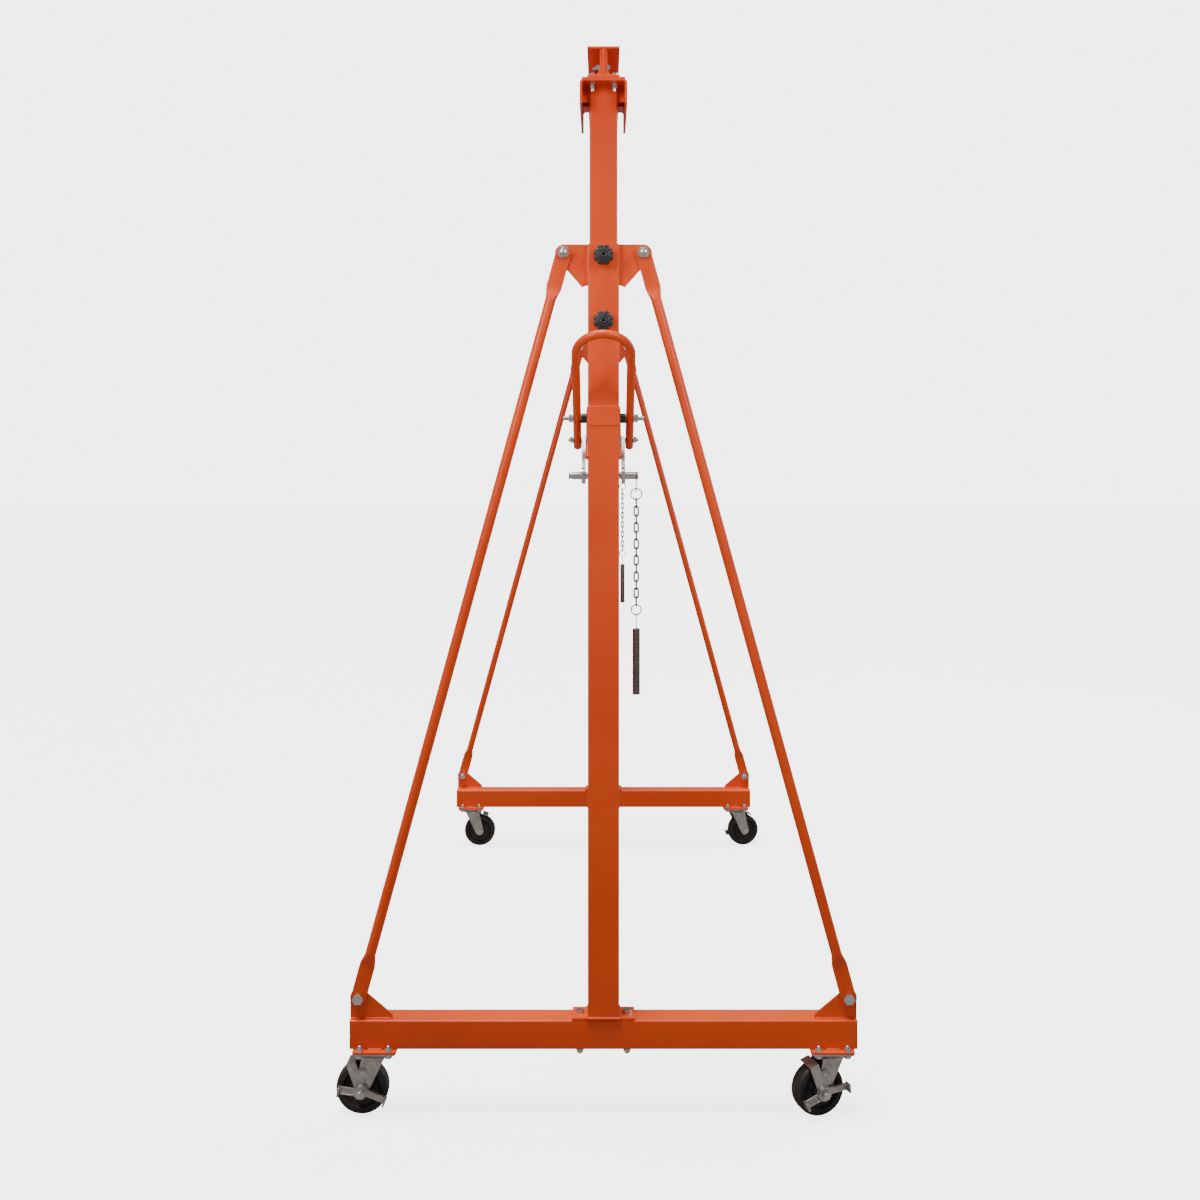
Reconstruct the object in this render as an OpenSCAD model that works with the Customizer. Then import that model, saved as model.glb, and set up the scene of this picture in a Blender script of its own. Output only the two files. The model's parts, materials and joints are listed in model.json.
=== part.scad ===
// Portable gantry crane: two end frames on swivel casters, each with a telescoping mast that is
// raised by a lever jack, and one I-beam across the tops of the masts.
// X runs across a frame, Y along the beam, Z up. The origin is on the floor under mid-beam.

/* [Frames] */
// Distance between the mid-planes of the two end frames (mm)
frame_spacing = 2310; // [1600:10:4000]
// Length of each base beam (mm)
base_length = 1228; // [1000:2:1600]
// Outside size of the square base beam (mm)
base_side = 70; // [60:1:80]
// Wall of the square tubes (mm)
tube_wall = 3.5; // [3:0.5:5]
// Height of the underside of the base beam above the floor (mm)
base_clearance = 165; // [165:1:200]
// Height of the top of the column above the floor (mm)
column_top = 2112; // [1900:5:2400]
// Outside size of the square column (mm)
column_side = 76; // [72:1:90]

/* [Struts] */
// Outside diameter of the round strut tube (mm)
strut_d = 26; // [22:0.5:34]
// Half the distance between the upper strut pivots (mm)
strut_top_x = 97; // [90:1:120]
// Half the distance between the lower strut pivots (mm)
strut_foot_x = 594; // [450:1:700]
// Diameter of the strut bolts (mm)
strut_bolt_d = 16; // [12, 14, 16]

/* [Mast] */
// Outside size of the square mast (mm)
mast_side = 68; // [60:0.5:68]
// Spacing of the pin holes up the mast (mm)
pin_pitch = 100; // [80:5:120]
// Diameter of the lift pin and of the lock pin (mm)
pin_d = 18; // [14:1:20]

/* [Beam] */
// Length of the I-beam (mm)
beam_length = 2440; // [2000:10:4500]
// Width of the beam flanges (mm)
beam_width = 78; // [70:1:100]
// Height of the beam section (mm)
beam_height = 73; // [60:1:120]
// Height of the top of the masts above the floor with the masts down (mm)
mast_top = 2494; // [2400:1:2600]

/* [Jack] */
// Diameter of the lever rod (mm)
lever_d = 20; // [16:0.5:22]
// Distance from the lever pivot to the top of its bow (mm)
lever_reach = 294; // [200:1:400]
// Lean of the lever away from the column at rest (degrees)
lever_lean = 50; // [40:1:60]
// Height of the lever pivot above the floor (mm)
lever_z = 1692; // [1500:5:1800]
// Distance from the lever pivot to the link bolt (mm)
crank_arm = 79; // [60:1:90]

/* [Casters] */
// Wheel diameter (mm)
wheel_d = 127; // [100, 125, 127]
// Wheel width at the tread (mm)
wheel_w = 42; // [32:1:46]
// Distance of each caster's swivel axis from the middle of the base beam (mm)
caster_x = 553; // [450:1:560]
// Horizontal distance from the swivel axis to the axle (mm)
caster_trail = 34; // [25:1:40]
// Swivel of the near right caster from straight (degrees)
near_right_swivel = 18; // [0:1:45]
// Swivel of the far right caster from straight (degrees)
far_right_swivel = 14; // [0:1:45]

/* [Hidden] */
$fn = 96;

// paint and metal colours
orange = [0.87, 0.36, 0.18];
zinc = [0.72, 0.71, 0.70];
black = [0.12, 0.11, 0.11];

// fits: sliding and turning fits have 0.05 mm a side, bolts in clearance holes 0.5 mm a side
run = 0.1;
slack = 1;
weld_in = 1;

// heights up a frame
base_top = base_clearance + base_side;
plate_t = 6;
foot_top = base_top + plate_t;
pad_size = 106;
pad_t = 5;
pad_bottom = base_clearance - pad_t;
tube_r = 4;

// strut pivots and the plates they are bolted to
ear_z = column_top - 20;
gusset_z = base_top + 51;
tip_r = 21;
plate_y = -base_side / 2 + 12.5;
strut_flat_t = 6;
strut_flat_w = 38;
strut_y = plate_y - strut_flat_t / 2;
strut_run = strut_foot_x - strut_top_x;
strut_rise = ear_z - gusset_z;
strut_length = sqrt(strut_run * strut_run + strut_rise * strut_rise);
strut_lean = atan(strut_run / strut_rise);
strut_wall = 2.6;
flat_low = 80;
flat_high = 85;
taper = 30;

// bolt positions
foot_bolt_x = 57.5;
foot_bolt_d = 12;
foot_plate_x = 152;
caster_bolt_x = 34.5;
caster_bolt_y = 44;
caster_bolt_d = 10;
caster_nut_h = 8.4;

// jack
collar_h = 44;
collar_wall = 2.5;
collar_z = lever_z - 18;
lever_x = 64.5;
lever_tail = 105;
pivot_d = 10;
link_bolt_d = 8;
link_x = 44;
link_t = 9;
link_head_r = 9;
link_eye_r = 20;
crank_y = crank_arm * sin(lever_lean);
crank_z = lever_z - crank_arm * cos(lever_lean);
lift_z = lever_z - 140;
lift_travel = 2 * crank_arm * cos(lever_lean);
slot_w = pin_d + 2;
pin_end = 84;
pin_gap = 1;
knob_high = column_top - 32;
knob_low = column_top - 190;
knob_d = 49;
stud_d = 12;
knob_nut_h = 10;

// chain between the lift pin and the lock pin
chain_x = 80;
link_wire = 4;
link_gap = 0.2;
link_inner = 20.4;
link_outer_w = 14;
chain_pitch = 20;
chain_links = 13;
ring_wire = 3;
hook_wire = 2.6;
loop_wire = 2;
ring_high_r = 13.25;
ring_low_r = 12.25;
ring_high_z = lift_z - 45;
ring_to_link = ring_wire / 2 + link_wire / 2 + link_gap;
chain_z = ring_high_z - ring_high_r + ring_to_link - link_inner / 2 - link_wire / 2;
chain_end = chain_z - (chain_links - 1) * chain_pitch - link_inner / 2 - link_wire / 2;
ring_low_z = chain_end + ring_to_link - ring_low_r;
lock_top = lift_z - 373;
lock_length = 161;

// saddle and beam
saddle_w = 114;
saddle_wall = 60;
saddle_r = 12;
spacer_h = 36;
saddle_out = 78;
saddle_in = 202;
seat_w = 104;
seat_t = 7;
web_top = mast_top + plate_t;
beam_z = web_top + seat_t;
beam_top = beam_z + beam_height;
flange_t = 5.5;
beam_web = 6;
mast_foot = 282;
saddle_bolt_x = 27;
saddle_bolt_rows = [-48, 60, 180];
saddle_bolt_d = 10;
stop_bolt_z = beam_z + 29;
stop_length = 56;
stop_inset = 4;

// caster
wheel_r = wheel_d / 2;
caster_plate_t = 4;
caster_plate_z = pad_bottom - caster_plate_t;
race_z = caster_plate_z - 9;
crown_z = race_z - 0.2;
crown_h = 8;
leg_y = 26;
leg_t = 3;
axle_d = 12;
leg_tip_r = 17;
shoe_y = leg_y + leg_t + 0.3;
shoe_t = 3;
pedal_y = shoe_y + shoe_t + 0.3;
pedal_t = 10;
nut_y = pedal_y + pedal_t + 0.3;
rivet_z = wheel_r + 45;
rivet_x = caster_trail - 4;
shoe_angle = 70;
shoe_gap = 5;
pedal_up = 8;
pedal_down = -20;

function tangent_point(p, c, r, side) =
  let (d = c - p, l = norm(d), a = atan2(d[1], d[0]), b = asin(r / l))
  p + sqrt(l * l - r * r) * [cos(a + side * b), sin(a + side * b)];

// ---- flat shapes ----

module rounded_square(side, r) {
  square([side, side - 2 * r], center = true);
  square([side - 2 * r, side], center = true);
  for (x = [-1, 1], y = [-1, 1])
    translate([x * (side / 2 - r), y * (side / 2 - r)])
      circle(r = r);
}

module tube_section(side, wall, r) {
  difference() {
    rounded_square(side, r);
    rounded_square(side - 2 * wall, max(r - wall, 1));
  }
}

// ---- placing ----

module near() {
  translate([0, -frame_spacing / 2, 0])
    children();
}

module far() {
  mirror([0, 1, 0])
    near()
      children();
}

// plate drawn in X and Z, from y0 to y0 + t
module plate_xz(y0, t) {
  translate([0, y0 + t, 0])
    rotate([90, 0, 0])
      linear_extrude(t)
        children();
}

// plate drawn in Y and Z, from x0 to x0 + t
module plate_yz(x0, t) {
  translate([x0, 0, 0])
    rotate([90, 0, 90])
      linear_extrude(t)
        children();
}

module rod_x(x0, x1, d) {
  translate([x0, 0, 0])
    rotate([0, 90, 0])
      cylinder(d = d, h = x1 - x0);
}

module rod_y(y0, y1, d) {
  translate([0, y1, 0])
    rotate([90, 0, 0])
      cylinder(d = d, h = y1 - y0);
}

module hex(across_flats, h) {
  cylinder(d = across_flats / cos(30), h = h, $fn = 6);
}

module both_sides() {
  children();
  mirror([1, 0, 0])
    children();
}

// ---- end frame ----

module gusset_outline() {
  slope_foot = [517, base_top + 14];
  blunt_x = 512;
  pivot = [strut_foot_x, gusset_z];
  t = tangent_point(slope_foot, pivot, tip_r, 1);
  difference() {
    union() {
      translate(pivot)
        circle(r = tip_r);
      polygon([
        [blunt_x, base_top - weld_in], [blunt_x, base_top + 8], slope_foot, t, pivot,
        [strut_foot_x + tip_r - 1, gusset_z], [strut_foot_x + tip_r - 1, base_top - weld_in]
      ]);
    }
    translate(pivot)
      circle(d = strut_bolt_d + slack);
  }
}

module base_beam_shape() {
  color(orange)
    difference() {
      union() {
        translate([-base_length / 2, 0, base_clearance + base_side / 2])
          rotate([0, 90, 0])
            linear_extrude(base_length)
              tube_section(base_side, tube_wall, tube_r);
        both_sides() {
          translate([base_length / 2 - tube_wall, 0, base_clearance + base_side / 2])
            rotate([0, 90, 0])
              linear_extrude(tube_wall)
                rounded_square(base_side - 2, tube_r - 1);
          translate([caster_x, 0, pad_bottom])
            linear_extrude(pad_t)
              rounded_square(pad_size, 10);
          plate_xz(plate_y, plate_t)
            gusset_outline();
        }
      }
      both_sides() {
        translate([foot_bolt_x, 0, base_clearance - 1])
          cylinder(d = foot_bolt_d + slack, h = base_side + 2);
        for (x = [-1, 1], y = [-1, 1])
          translate([caster_x + x * caster_bolt_x, y * caster_bolt_y, pad_bottom - 1])
            cylinder(d = caster_bolt_d + slack, h = pad_t + 2);
      }
    }
}

module ear_outline() {
  pivot = [strut_top_x, ear_z];
  low = [52, ear_z - 83];
  t = tangent_point(low, pivot, tip_r, -1);
  inner = column_side / 2 - weld_in;
  difference() {
    union() {
      translate(pivot)
        circle(r = tip_r);
      polygon([
        [inner, low[1] + 6], low, t, pivot, [strut_top_x, ear_z + tip_r],
        [inner, ear_z + tip_r]
      ]);
    }
    translate(pivot)
      circle(d = strut_bolt_d + slack);
  }
}

module column_shape() {
  color(orange)
    difference() {
      union() {
        translate([0, 0, foot_top - weld_in])
          linear_extrude(column_top - foot_top + weld_in)
            tube_section(column_side, tube_wall, tube_r);
        translate([-foot_plate_x / 2, -base_side / 2, base_top])
          cube([foot_plate_x, base_side, plate_t]);
        translate([0, 0, collar_z])
          linear_extrude(collar_h)
            tube_section(column_side + 2 * collar_wall, collar_wall + 1, tube_r + 2);
        both_sides()
          plate_xz(plate_y, plate_t)
            ear_outline();
        for (z = [knob_high, knob_low])
          translate([0, -column_side / 2 + weld_in, z])
            rotate([90, 0, 0])
              hex(19, knob_nut_h + weld_in);
      }
      both_sides() {
        translate([foot_bolt_x, 0, base_top - 1])
          cylinder(d = foot_bolt_d + slack, h = plate_t + 2);
        translate([0, 0, lever_z])
          rod_x(30, column_side, pivot_d);
        plate_yz(30, 10) {
          translate([0, lift_z])
            circle(d = slot_w);
          translate([0, lift_z + lift_travel])
            circle(d = slot_w);
          translate([-slot_w / 2, lift_z])
            square([slot_w, lift_travel]);
        }
      }
      for (z = [knob_high, knob_low])
        translate([0, 0, z])
          rod_y(-60, -30, stud_d + run);
    }
}

module strut_shape() {
  color(orange)
    difference() {
      union() {
        plate_xz(-strut_flat_t / 2, strut_flat_t) {
          circle(d = strut_flat_w);
          translate([-strut_flat_w / 2, 0])
            square([strut_flat_w, flat_low]);
          translate([0, strut_length])
            circle(d = strut_flat_w);
          translate([-strut_flat_w / 2, strut_length - flat_high])
            square([strut_flat_w, flat_high]);
        }
        translate([0, 0, flat_low + taper - 1])
          cylinder(d = strut_d, h = strut_length - flat_low - flat_high - 2 * taper + 2);
        strut_taper(flat_low, 1);
        strut_taper(strut_length - flat_high, -1);
      }
      translate([0, 0, flat_low + taper + 2])
        cylinder(
          d = strut_d - 2 * strut_wall, h = strut_length - flat_low - flat_high - 2 * taper - 4
        );
      for (z = [0, strut_length])
        translate([0, 0, z])
          rod_y(-strut_flat_t, strut_flat_t, strut_bolt_d + slack);
    }
}

module strut_taper(z, way) {
  hull() {
    translate([-strut_flat_w / 2, -strut_flat_t / 2, z - 0.5])
      cube([strut_flat_w, strut_flat_t, 1]);
    translate([0, 0, z + way * taper - 0.5])
      cylinder(d = strut_d, h = 1, $fn = 32);
  }
}

module strut_placed() {
  translate([strut_foot_x, strut_y, gusset_z])
    rotate([0, -strut_lean, 0])
      strut_shape();
}

module frame_bolts_shape() {
  front = strut_y - strut_flat_t / 2;
  back = plate_y + plate_t;
  color(zinc) {
    both_sides() {
      // foot bolt: head on the foot plate, domed nut under the beam
      translate([foot_bolt_x, 0, base_clearance - 12])
        cylinder(d = foot_bolt_d, h = base_side + plate_t + 14);
      translate([foot_bolt_x, 0, foot_top])
        hex(19, 7.5);
      translate([foot_bolt_x, 0, base_clearance - 10])
        hex(19, 10);
      // lower strut bolt: head outward
      translate([strut_foot_x, 0, gusset_z]) {
        translate([0, front, 0])
          rotate([90, 0, 0])
            hex(24, 10);
        rod_y(front - 1, 0, strut_bolt_d);
        translate([0, back + 13, 0])
          rotate([90, 0, 0])
            hex(24, 13);
      }
      // upper strut bolt: nut outward
      translate([strut_top_x, 0, ear_z]) {
        rod_y(front - 2.5, front, 28);
        translate([0, front - 2.5, 0])
          rotate([90, 0, 0])
            hex(24, 13);
        rod_y(front - 21, back + 1, strut_bolt_d);
        translate([0, back + 10, 0])
          rotate([90, 0, 0])
            hex(24, 10);
      }
      // caster bolts: head under the caster plate, nut on the pad
      for (x = [-1, 1], y = [-1, 1])
        translate([caster_x + x * caster_bolt_x, y * caster_bolt_y, 0]) {
          translate([0, 0, caster_plate_z - 6.4])
            hex(17, 6.4);
          translate([0, 0, caster_plate_z - 1])
            cylinder(d = caster_bolt_d, h = caster_plate_t + pad_t + caster_nut_h + 5);
          translate([0, 0, base_clearance])
            hex(17, caster_nut_h);
        }
    }
  }
}

// ---- lever jack ----

module jack_bolts_shape() {
  outer = lever_x + lever_d / 2 + 0.2;
  color(zinc)
    both_sides()
      translate([0, 0, lever_z]) {
        rod_x(column_side / 2 - 2, 98, pivot_d);
        rod_x(outer, outer + 1.6, 20);
        translate([outer + 1.6, 0, 0])
          rotate([0, 90, 0])
            hex(17, 8);
      }
}

module jack_bushes_shape() {
  bush_from = column_side / 2 + collar_wall;
  bush_to = lever_x - lever_d / 2 - 0.2;
  color(black)
    both_sides()
      translate([0, 0, lever_z])
        difference() {
          rod_x(bush_from, bush_to, 24);
          rod_x(bush_from - 1, bush_to + 1, pivot_d);
        }
}

module lever_placed() {
  translate([0, 0, lever_z])
    rotate([lever_lean, 0, 0])
      children();
}

module jack_lever_shape() {
  bow_z = lever_reach - lever_d / 2 - lever_x;
  color(orange)
    lever_placed()
      difference() {
        union() {
          both_sides()
            translate([lever_x, 0, -lever_tail])
              cylinder(d = lever_d, h = lever_tail + bow_z);
          translate([0, 0, bow_z])
            rotate([90, 0, 0])
              rotate_extrude(angle = 180)
                translate([lever_x, 0])
                  circle(d = lever_d);
        }
        both_sides() {
          rod_x(lever_x - lever_d, lever_x + lever_d, pivot_d + run);
          translate([0, 0, -crank_arm])
            rod_x(lever_x - lever_d, lever_x + lever_d, link_bolt_d + run);
        }
      }
}

module link_bolts_shape() {
  outer = lever_x + lever_d / 2;
  color(zinc)
    lever_placed()
      both_sides()
        translate([0, 0, -crank_arm]) {
          rod_x(link_x - 2, 87, link_bolt_d);
          translate([link_x - 5.5, 0, 0])
            rotate([0, 90, 0])
              hex(13, 5.3);
          rod_x(outer, outer + 1.6, 16);
          translate([outer + 1.6, 0, 0])
            rotate([0, 90, 0])
              hex(13, 6.5);
        }
}

module link_outline() {
  top = [crank_y, crank_z];
  foot = [0, lift_z];
  along = (top - foot) / norm(top - foot);
  across = [-along[1], along[0]] * link_head_r;
  difference() {
    union() {
      translate(top)
        circle(r = link_head_r);
      translate(foot)
        circle(r = link_eye_r);
      polygon([foot - across, top - across, top + across, foot + across]);
    }
    translate(top)
      circle(d = link_bolt_d + run);
    translate(foot)
      circle(d = pin_d);
  }
}

module lift_links_shape() {
  color(zinc)
    both_sides()
      plate_yz(link_x, link_t)
        link_outline();
}

module lift_pins_shape() {
  inner = column_side / 2 + pin_gap;
  color(zinc)
    both_sides()
      translate([0, 0, lift_z])
        difference() {
          rod_x(inner, pin_end, pin_d);
          translate([chain_x - 1.5, 0, 0])
            difference() {
              rod_x(0, 3, pin_d + 2);
              rod_x(-1, 4, pin_d - 4);
            }
        }
}

// ---- chain and lock pin ----

module ring_xz(r, wire) {
  rotate([90, 0, 0])
    rotate_extrude()
      translate([r, 0])
        circle(d = wire);
}

module chain_link() {
  r = (link_outer_w - link_wire) / 2;
  half = link_inner / 2 + link_wire / 2 - r;
  for (way = [0, 180])
    rotate([0, way, 0]) {
      translate([0, 0, half])
        rotate([90, 0, 0])
          rotate_extrude(angle = 180)
            translate([r, 0])
              circle(d = link_wire);
      translate([r, 0, -half])
        cylinder(d = link_wire, h = 2 * half);
    }
}

module pin_chain_shape() {
  hook_r = pin_d / 2;
  eye_r = 5;
  eye_z = ring_high_z + ring_high_r - 1.2;
  color(zinc)
    translate([chain_x, 0, 0]) {
      translate([0, 0, lift_z])
        rotate([0, 0, 90])
          ring_xz(hook_r - 0.4, hook_wire);
      translate([0, 0, eye_z + eye_r])
        cylinder(d = hook_wire, h = lift_z - hook_r - eye_z - eye_r + 0.4);
      translate([0, 0, eye_z])
        rotate([0, 0, 90])
          ring_xz(eye_r, hook_wire);
      translate([0, 0, ring_high_z])
        ring_xz(ring_high_r, ring_wire);
      for (i = [0 : chain_links - 1])
        translate([0, 0, chain_z - i * chain_pitch])
          rotate([0, 0, 90 * (i + 1)])
            chain_link();
      translate([0, 0, ring_low_z])
        ring_xz(ring_low_r, ring_wire);
    }
}

module lock_pin_shape() {
  loop_r = 4;
  loop_z = ring_low_z - ring_low_r + ring_wire / 2 + loop_wire / 2 + link_gap - loop_r;
  color(zinc)
    translate([chain_x, 0, 0]) {
      translate([0, 0, lock_top - lock_length])
        cylinder(d = pin_d, h = lock_length - 2);
      translate([0, 0, lock_top - 2])
        cylinder(d1 = pin_d, d2 = pin_d - 4, h = 2);
      for (y = [-loop_r, loop_r])
        translate([0, y, lock_top - 6])
          cylinder(d = loop_wire, h = loop_z - lock_top + 6);
      translate([0, 0, loop_z])
        rotate([0, 0, 90])
          rotate([90, 0, 0])
            rotate_extrude(angle = 180)
              translate([loop_r, 0])
                circle(d = loop_wire);
    }
}

// ---- clamp knobs ----

module knob_shape(z) {
  face = -column_side / 2 - knob_nut_h;
  lobes = 8;
  color(black)
    translate([0, 0, z]) {
      rod_y(face - 14, -mast_side / 2 - 1, stud_d);
      rod_y(face - 14, face - 2, 24);
      rod_y(face - 32, face - 29, 26);
      plate_xz(face - 30, 18) {
        circle(d = 36);
        for (i = [0 : lobes - 1])
          rotate(i * 360 / lobes + 5)
            translate([knob_d / 2 - 6.5, 0])
              circle(d = 13);
      }
    }
}

// ---- casters: drawn with the wheel trailing to +X and the brake on the +Y side ----

module caster_plates_shape() {
  color(zinc)
    both_sides()
      translate([caster_x, 0, 0]) {
        translate([0, 0, caster_plate_z])
          difference() {
            linear_extrude(caster_plate_t)
              rounded_square(pad_size - 2, 9);
            for (x = [-1, 1], y = [-1, 1])
              translate([x * caster_bolt_x, y * caster_bolt_y, -1])
                cylinder(d = caster_bolt_d + slack, h = caster_plate_t + 2);
          }
        translate([0, 0, race_z])
          cylinder(d1 = 60, d2 = 66, h = caster_plate_z - race_z);
        // kingpin and its riveted head under the fork crown
        translate([0, 0, crown_z - crown_h - 4])
          cylinder(d = 14, h = crown_h + 6);
        translate([0, 0, crown_z - crown_h - 4])
          cylinder(d1 = 16, d2 = 24, h = 3.8);
      }
}

module fork_shape() {
  leg_top = crown_z - crown_h;
  axle = [caster_trail, wheel_r];
  front = [-22, leg_top + 2];
  rear = [33, leg_top + 2];
  t_front = tangent_point(front, axle, leg_tip_r, -1);
  t_rear = tangent_point(rear, axle, leg_tip_r, 1);
  color(zinc)
    difference() {
      union() {
        translate([0, 0, leg_top])
          cylinder(d = 62, h = crown_h);
        translate([-22, -leg_y - leg_t, leg_top])
          cube([55, 2 * (leg_y + leg_t), 4]);
        for (y = [-leg_y - leg_t, leg_y])
          plate_xz(y, leg_t) {
            translate(axle)
              circle(r = leg_tip_r);
            polygon([front, rear, t_rear, axle, t_front]);
          }
      }
      translate([0, 0, leg_top - 1])
        cylinder(d = 14 + run, h = crown_h + 2);
      translate([caster_trail, 0, wheel_r])
        rod_y(-leg_y - 5, leg_y + 5, axle_d);
      translate([rivet_x, 0, rivet_z])
        rod_y(leg_y - 1, leg_y + 5, 6);
    }
}

module axle_shape() {
  color(zinc) {
    translate([caster_trail, 0, wheel_r]) {
      rod_y(-leg_y - leg_t - 7, nut_y + 10, axle_d);
      translate([0, -leg_y - leg_t, 0])
        rotate([90, 0, 0])
          hex(19, 7.5);
      translate([0, nut_y + 8, 0])
        rotate([90, 0, 0])
          hex(19, 8);
    }
    // shoe rivet
    translate([rivet_x, 0, rivet_z]) {
      rod_y(leg_y, shoe_y + shoe_t + 2.5, 6);
      rod_y(shoe_y + shoe_t + 0.2, shoe_y + shoe_t + 2.7, 11);
    }
  }
}

module wheel_shape() {
  edge = 7;
  hub_w = 2 * leg_y - 1;
  color(black)
    translate([caster_trail, 0, wheel_r])
      rotate([90, 0, 0])
        rotate_extrude() {
          // hub, web and rim with rounded tread corners
          translate([(axle_d + run) / 2, -hub_w / 2])
            square([14, hub_w]);
          translate([(axle_d + run) / 2, -7])
            square([40, 14]);
          translate([44, -wheel_w / 2])
            square([wheel_r - 44 - edge, wheel_w]);
          translate([44, -wheel_w / 2 + edge])
            square([wheel_r - 44, wheel_w - 2 * edge]);
          for (y = [-1, 1])
            translate([wheel_r - edge, y * (wheel_w / 2 - edge)])
              circle(r = edge);
        }
}

module pedal_shape(tilt) {
  web_t = 3;
  arms = [[tilt, 55], [tilt - 166, 65]];
  color(zinc)
    translate([caster_trail, 0, wheel_r])
      difference() {
        union() {
          plate_xz(pedal_y, web_t) {
            circle(r = 18);
            for (arm = arms)
              rotate(arm[0])
                translate([0, -11])
                  square([arm[1] - 3, 17]);
          }
          rod_y(pedal_y + 1, pedal_y + pedal_t, 33);
          for (arm = arms)
            rotate([0, -arm[0], 0]) {
              translate([10, pedal_y + 1, -10.5])
                cube([arm[1] - 12, 7, 3]);
              translate([arm[1] - 5, pedal_y - 1, -13])
                cube([5, pedal_t + 10, 20.5]);
            }
        }
        rod_y(pedal_y - 3, pedal_y + pedal_t + 1, axle_d + run);
      }
}

module shoe_shape() {
  band_r = wheel_r + shoe_gap;
  band_t = 3;
  half = 12;
  axle = [caster_trail, wheel_r];
  rivet = [rivet_x, rivet_z];
  out = [cos(shoe_angle), sin(shoe_angle)];
  across = [-sin(shoe_angle), cos(shoe_angle)] * half;
  top = axle + out * (band_r + band_t);
  color(zinc)
    difference() {
      union() {
        plate_xz(shoe_y, shoe_t) {
          translate(axle)
            circle(r = 16);
          translate(rivet)
            circle(r = 10);
          polygon([
            axle - across, top - across, top + across, axle + out * 50 + across,
            rivet + [3, 9.5], rivet, axle + across
          ]);
        }
        translate([caster_trail, 0, wheel_r])
          rotate([0, -shoe_angle, 0])
            translate([band_r, -wheel_w / 2 - 1, -half])
              cube([band_t, shoe_y + shoe_t + wheel_w / 2 + 1, 2 * half]);
      }
      translate([caster_trail, 0, wheel_r])
        rod_y(shoe_y - 1, shoe_y + shoe_t + 1, axle_d + 9);
      translate([rivet_x, 0, rivet_z])
        rod_y(shoe_y - 1, shoe_y + shoe_t + 1, 6 + run);
    }
}

module at_near_left() {
  near()
    translate([-caster_x, 0, 0])
      rotate([0, 0, 180])
        children();
}

module at_near_right() {
  near()
    translate([caster_x, 0, 0])
      rotate([0, 0, 180 + near_right_swivel])
        children();
}

module at_far_left() {
  translate([-caster_x, frame_spacing / 2, 0])
    children();
}

module at_far_right() {
  translate([caster_x, frame_spacing / 2, 0])
    rotate([0, 0, far_right_swivel])
      children();
}

// ---- masts, saddles and beam ----

module mast_shape() {
  holes = floor((mast_top - 130 - 320) / pin_pitch);
  first = lift_z - floor((lift_z - mast_foot - 30) / pin_pitch) * pin_pitch;
  color(orange)
    difference() {
      translate([0, 0, mast_foot])
        linear_extrude(mast_top - mast_foot)
          tube_section(mast_side, tube_wall, tube_r);
      for (i = [0 : holes - 1])
        translate([0, 0, first + i * pin_pitch])
          rod_x(-mast_side, mast_side, pin_d + slack);
    }
}

// solid outline of the saddle, round at its shoulders, from its top down
module channel_outline(half, r) {
  translate([-half, -saddle_wall])
    square([2 * half, saddle_wall - r]);
  translate([r - half, -saddle_wall])
    square([2 * (half - r), saddle_wall]);
  for (x = [r - half, half - r])
    translate([x, -r])
      circle(r = r);
}

module saddle_shape() {
  length = saddle_out + saddle_in;
  color(orange)
    difference() {
      union() {
        plate_xz(-saddle_out, length)
          translate([0, web_top])
            difference() {
              channel_outline(saddle_w / 2, saddle_r);
              translate([0, -plate_t])
                channel_outline(saddle_w / 2 - plate_t, saddle_r - plate_t);
            }
        translate([-seat_w / 2, -saddle_out + 14, web_top])
          cube([seat_w, length - 28, seat_t]);
        // spacer plates between the mast and the side walls
        both_sides()
          for (y = [-24, 18])
            translate([mast_side / 2, y, mast_top - spacer_h])
              cube([saddle_w / 2 - plate_t - mast_side / 2 + weld_in, plate_t, spacer_h]);
      }
      for (x = [-1, 1], y = saddle_bolt_rows)
        translate([x * saddle_bolt_x, y, mast_top - 1])
          cylinder(d = saddle_bolt_d + slack, h = plate_t + seat_t + 2);
    }
}

module beam_shape() {
  color(orange)
    difference() {
      plate_xz(-beam_length / 2, beam_length) {
        translate([-beam_width / 2, beam_z])
          square([beam_width, flange_t]);
        translate([-beam_width / 2, beam_top - flange_t])
          square([beam_width, flange_t]);
        translate([-beam_web / 2, beam_z])
          square([beam_web, beam_height]);
      }
      for (end = [-1, 1]) {
        for (x = [-1, 1], y = saddle_bolt_rows)
          translate([x * saddle_bolt_x, end * (frame_spacing / 2 - y), beam_z - 1])
            cylinder(d = saddle_bolt_d + slack, h = flange_t + 2);
        translate([0, end * (beam_length / 2 - stop_inset - stop_length / 2), stop_bolt_z])
          rod_x(-beam_web, beam_web, 12 + slack);
      }
    }
}

module beam_stops_shape() {
  cheek_t = 6;
  cheek_h = beam_height - 2 * flange_t;
  foot_t = 12;
  color(orange)
    for (end = [0, 180])
      rotate([0, 0, end])
        both_sides()
          translate([beam_web / 2, stop_inset - beam_length / 2, beam_z + flange_t])
            difference() {
              plate_xz(0, stop_length)
                polygon([
                  [0, 0], [foot_t, 0], [foot_t, 4], [cheek_t, 12], [cheek_t, cheek_h], [0, cheek_h]
                ]);
              translate([0, stop_length / 2, stop_bolt_z - beam_z - flange_t])
                rod_x(-1, cheek_t + 1, 12 + slack);
            }
}

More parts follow.
